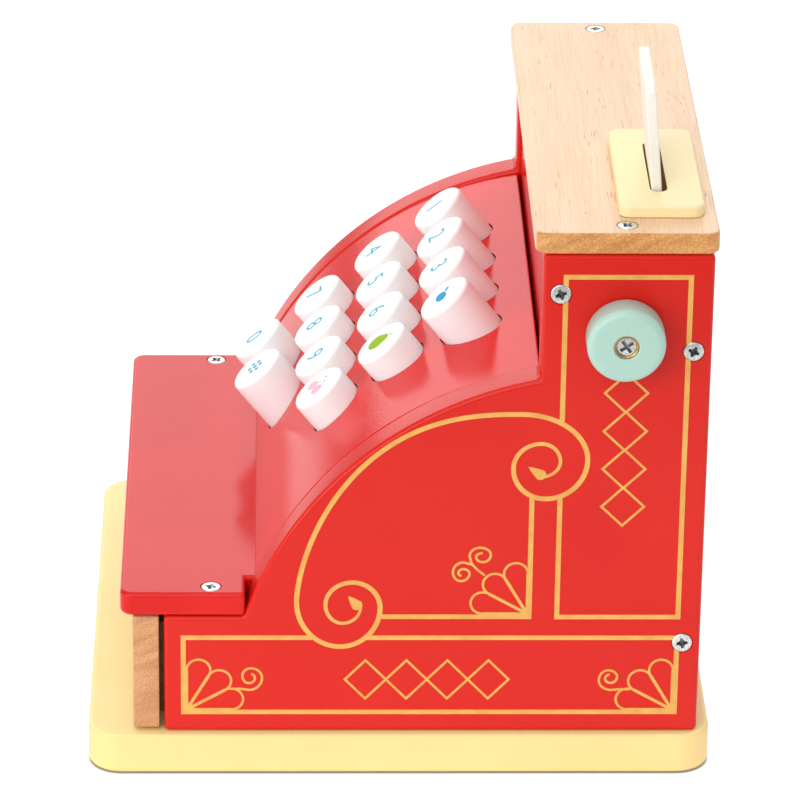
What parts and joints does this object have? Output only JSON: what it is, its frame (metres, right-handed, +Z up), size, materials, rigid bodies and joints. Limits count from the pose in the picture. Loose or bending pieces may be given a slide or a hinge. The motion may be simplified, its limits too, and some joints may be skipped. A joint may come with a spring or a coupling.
{
  "type": "toy cash register",
  "caption": "Painted wooden toy cash register with sprung round keys on a curved panel, a sliding drawer, a side knob that rings a bell inside, and a card in a slot.",
  "frame": {"origin": "centre of the base board's underside", "axes": "+Z up, -Y out of the front where the drawer opens, +X towards the side with the knob"},
  "size_m": [0.217, 0.22, 0.2484],
  "materials": {
    "red_paint": "gloss red paint on wood, with faint grain under it",
    "cream_paint": "pale yellow satin paint on wood",
    "white_paint": "white satin paint on wood",
    "mint_paint": "mint green satin paint on wood",
    "lacquered_wood": "pale wood under clear satin lacquer",
    "raw_wood": "bare sanded wood and plywood",
    "gold_paint": "printed matt gold lines",
    "key_print": "printed symbols on the keys",
    "zinc": "zinc-plated steel",
    "bright_steel": "bright steel"
  },
  "bodies": {
    "housing": {"right_side_panel": "red_paint", "left_side_panel": "red_paint", "back_panel": "red_paint", "tower_front_panel": "red_paint", "front_shelf": "red_paint", "key_panel": "red_paint", "base_board": "cream_paint", "card_slot_block": "cream_paint", "top_cap": "lacquered_wood", "key_board": "raw_wood", "right_side_screw_1": "zinc", "right_side_screw_2": "zinc", "right_side_screw_3": "zinc", "left_side_screw_1": "zinc", "left_side_screw_2": "zinc", "left_side_screw_3": "zinc", "right_cap_screw": "zinc", "right_shelf_screw": "zinc", "left_cap_screw": "zinc", "left_shelf_screw": "zinc", "bell_post": "zinc", "key_spring_01": "bright_steel", "key_spring_02": "bright_steel", "key_spring_03": "bright_steel", "key_spring_04": "bright_steel", "key_spring_05": "bright_steel", "key_spring_06": "bright_steel", "key_spring_07": "bright_steel", "key_spring_08": "bright_steel", "key_spring_09": "bright_steel", "key_spring_10": "bright_steel", "key_spring_11": "bright_steel", "key_spring_12": "bright_steel", "key_spring_13": "bright_steel", "key_spring_14": "bright_steel", "bell": "bright_steel"},
    "key_01_body": {"key_01": "white_paint"},
    "key_02_body": {"key_02": "white_paint"},
    "key_03_body": {"key_03": "white_paint"},
    "key_04_body": {"key_04": "white_paint"},
    "key_05_body": {"key_05": "white_paint"},
    "key_06_body": {"key_06": "white_paint"},
    "key_07_body": {"key_07": "white_paint"},
    "key_08_body": {"key_08": "white_paint"},
    "key_09_body": {"key_09": "white_paint"},
    "key_10_body": {"key_10": "white_paint"},
    "key_11_body": {"key_11": "white_paint"},
    "key_12_body": {"key_12": "white_paint"},
    "key_13_body": {"key_13": "white_paint"},
    "key_14_body": {"key_14": "white_paint"},
    "drawer": {"drawer_front": "lacquered_wood", "drawer_bottom": "raw_wood", "drawer_right_side": "raw_wood", "drawer_left_side": "raw_wood", "drawer_back": "raw_wood"},
    "knob_assembly": {"knob": "mint_paint", "knob_screw": "zinc", "knob_shaft": "raw_wood", "striker_arm": "raw_wood"},
    "card_body": {"card": "white_paint"}
  },
  "joints": [
    {"name": "key_01_press", "type": "slide", "parent": "housing", "child": "key_01_body", "axis": [0, 0.6239, -0.7815], "range_m": [0, 0.005], "stiffness_N_per_m": 300, "springref_m": -0.004, "deforming": ["key_spring_01"]},
    {"name": "key_02_press", "type": "slide", "parent": "housing", "child": "key_02_body", "axis": [0, 0.6239, -0.7815], "range_m": [0, 0.005], "stiffness_N_per_m": 300, "springref_m": -0.004, "deforming": ["key_spring_02"]},
    {"name": "key_03_press", "type": "slide", "parent": "housing", "child": "key_03_body", "axis": [0, 0.6239, -0.7815], "range_m": [0, 0.005], "stiffness_N_per_m": 300, "springref_m": -0.004, "deforming": ["key_spring_03"]},
    {"name": "key_04_press", "type": "slide", "parent": "housing", "child": "key_04_body", "axis": [0, 0.6239, -0.7815], "range_m": [0, 0.005], "stiffness_N_per_m": 300, "springref_m": -0.004, "deforming": ["key_spring_04"]},
    {"name": "key_05_press", "type": "slide", "parent": "housing", "child": "key_05_body", "axis": [0, 0.6239, -0.7815], "range_m": [0, 0.005], "stiffness_N_per_m": 300, "springref_m": -0.004, "deforming": ["key_spring_05"]},
    {"name": "key_06_press", "type": "slide", "parent": "housing", "child": "key_06_body", "axis": [0, 0.6239, -0.7815], "range_m": [0, 0.005], "stiffness_N_per_m": 300, "springref_m": -0.004, "deforming": ["key_spring_06"]},
    {"name": "key_07_press", "type": "slide", "parent": "housing", "child": "key_07_body", "axis": [0, 0.6239, -0.7815], "range_m": [0, 0.005], "stiffness_N_per_m": 300, "springref_m": -0.004, "deforming": ["key_spring_07"]},
    {"name": "key_08_press", "type": "slide", "parent": "housing", "child": "key_08_body", "axis": [0, 0.6239, -0.7815], "range_m": [0, 0.005], "stiffness_N_per_m": 300, "springref_m": -0.004, "deforming": ["key_spring_08"]},
    {"name": "key_09_press", "type": "slide", "parent": "housing", "child": "key_09_body", "axis": [0, 0.6239, -0.7815], "range_m": [0, 0.005], "stiffness_N_per_m": 300, "springref_m": -0.004, "deforming": ["key_spring_09"]},
    {"name": "key_10_press", "type": "slide", "parent": "housing", "child": "key_10_body", "axis": [0, 0.6239, -0.7815], "range_m": [0, 0.005], "stiffness_N_per_m": 300, "springref_m": -0.004, "deforming": ["key_spring_10"]},
    {"name": "key_11_press", "type": "slide", "parent": "housing", "child": "key_11_body", "axis": [0, 0.6239, -0.7815], "range_m": [0, 0.005], "stiffness_N_per_m": 300, "springref_m": -0.004, "deforming": ["key_spring_11"]},
    {"name": "key_12_press", "type": "slide", "parent": "housing", "child": "key_12_body", "axis": [0, 0.6239, -0.7815], "range_m": [0, 0.005], "stiffness_N_per_m": 300, "springref_m": -0.004, "deforming": ["key_spring_12"]},
    {"name": "key_13_press", "type": "slide", "parent": "housing", "child": "key_13_body", "axis": [0, 0.6239, -0.7815], "range_m": [0, 0.005], "stiffness_N_per_m": 300, "springref_m": -0.004, "deforming": ["key_spring_13"]},
    {"name": "key_14_press", "type": "slide", "parent": "housing", "child": "key_14_body", "axis": [0, 0.6239, -0.7815], "range_m": [0, 0.005], "stiffness_N_per_m": 300, "springref_m": -0.004, "deforming": ["key_spring_14"]},
    {"name": "drawer_slide", "type": "slide", "parent": "housing", "child": "drawer", "axis": [0, -1, 0], "range_m": [0, 0.11]},
    {"name": "knob_turn", "type": "hinge", "parent": "housing", "child": "knob_assembly", "pos_m": [0.1015, 0.0749, 0.1694], "axis": [1, 0, 0], "continuous": true},
    {"name": "card_lift", "type": "slide", "parent": "housing", "child": "card_body", "axis": [0, -0.0698, 0.9976], "range_m": [0, 0.05]}
  ]
}
